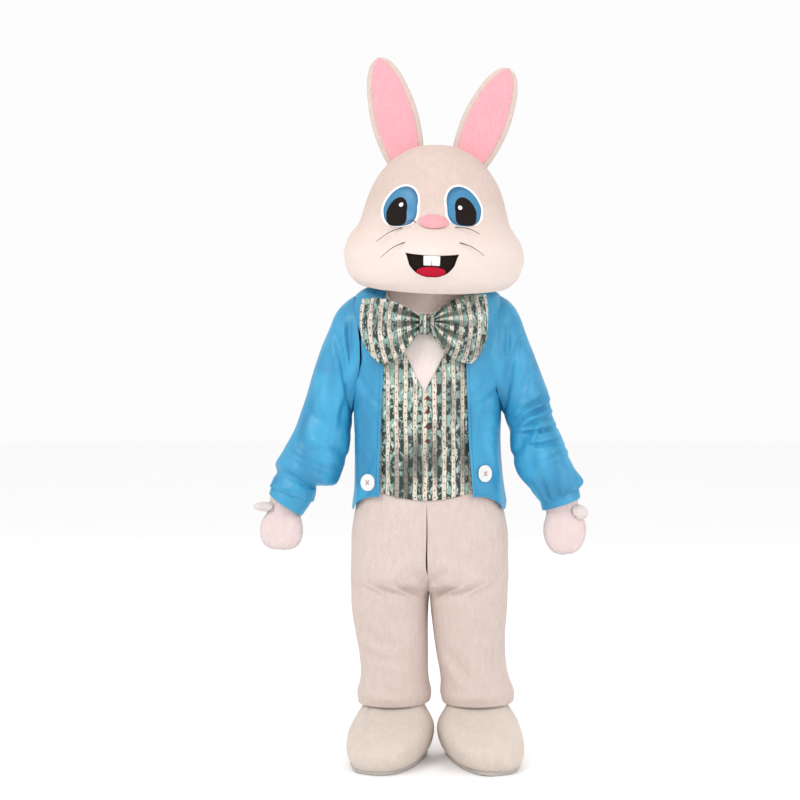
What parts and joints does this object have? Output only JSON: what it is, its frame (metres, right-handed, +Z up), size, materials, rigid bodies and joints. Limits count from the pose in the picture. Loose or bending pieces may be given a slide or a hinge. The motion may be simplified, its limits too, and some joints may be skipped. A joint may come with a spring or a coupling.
{
  "type": "bunny costume",
  "caption": "Rabbit costume worn over the whole body: padded head with upright ears, cream plush jumpsuit, mitts and boots, blue satin jacket, striped vest and wide bow tie.",
  "frame": {"origin": "base of the wearer's neck, 1.40 m above the soles, in the middle of the shoulders from front to back", "axes": "+Z up, the costume's front faces -Y, the wearer's left is +X"},
  "size_m": [1.0357, 0.4674, 2.1481],
  "materials": {
    "cream_plush": "short plush pile",
    "palm_plush": "short plush pile",
    "pink_plush": "short plush pile",
    "blue_satin": "satin",
    "striped_satin": "satin with woven stripes",
    "white_button": "gloss",
    "eye_white": "smooth",
    "eye_blue": "smooth",
    "eye_black": "smooth",
    "mouth_black": "felt",
    "tongue_red": "felt",
    "tooth_white": "felt",
    "whisker_black": "matt",
    "dark_red_button": "gloss",
    "grey_sole": "matt"
  },
  "bodies": {
    "root": {"suit_front_left": "cream_plush", "suit_front_right": "cream_plush", "suit_back_left": "cream_plush", "suit_back_right": "cream_plush", "head_front": "cream_plush", "head_back": "cream_plush", "head_neck_skirt": "cream_plush", "ear_left": "cream_plush", "ear_right": "cream_plush", "glove_back_left": "cream_plush", "glove_back_right": "cream_plush", "glove_thumb_left": "cream_plush", "glove_thumb_right": "cream_plush", "foot_vamp_left": "cream_plush", "foot_vamp_right": "cream_plush", "foot_heel_left": "cream_plush", "foot_heel_right": "cream_plush", "glove_palm_left": "palm_plush", "glove_palm_right": "palm_plush", "ear_inner_left": "pink_plush", "ear_inner_right": "pink_plush", "nose": "pink_plush", "jacket_back": "blue_satin", "jacket_front_left": "blue_satin", "jacket_front_right": "blue_satin", "sleeve_left": "blue_satin", "sleeve_right": "blue_satin", "cuff_left": "blue_satin", "cuff_right": "blue_satin", "vest_front_left": "striped_satin", "vest_front_right": "striped_satin", "bow_loop_left": "striped_satin", "bow_loop_right": "striped_satin", "bow_knot": "striped_satin", "jacket_button_left": "white_button", "jacket_button_right": "white_button", "eye_white_left": "eye_white", "eye_white_right": "eye_white", "eye_glint_left": "eye_white", "eye_glint_right": "eye_white", "eye_iris_left": "eye_blue", "eye_iris_right": "eye_blue", "eye_pupil_left": "eye_black", "eye_pupil_right": "eye_black", "mouth_lining": "mouth_black", "tongue": "tongue_red", "tooth_left": "tooth_white", "tooth_right": "tooth_white", "whisker_left_lower": "whisker_black", "whisker_left_upper": "whisker_black", "whisker_right_lower": "whisker_black", "whisker_right_short": "whisker_black", "whisker_right_upper": "whisker_black", "vest_button_1": "dark_red_button", "vest_button_2": "dark_red_button", "vest_button_3": "dark_red_button", "vest_button_4": "dark_red_button", "foot_sole_left": "grey_sole", "foot_sole_right": "grey_sole"}
  },
  "joints": []
}
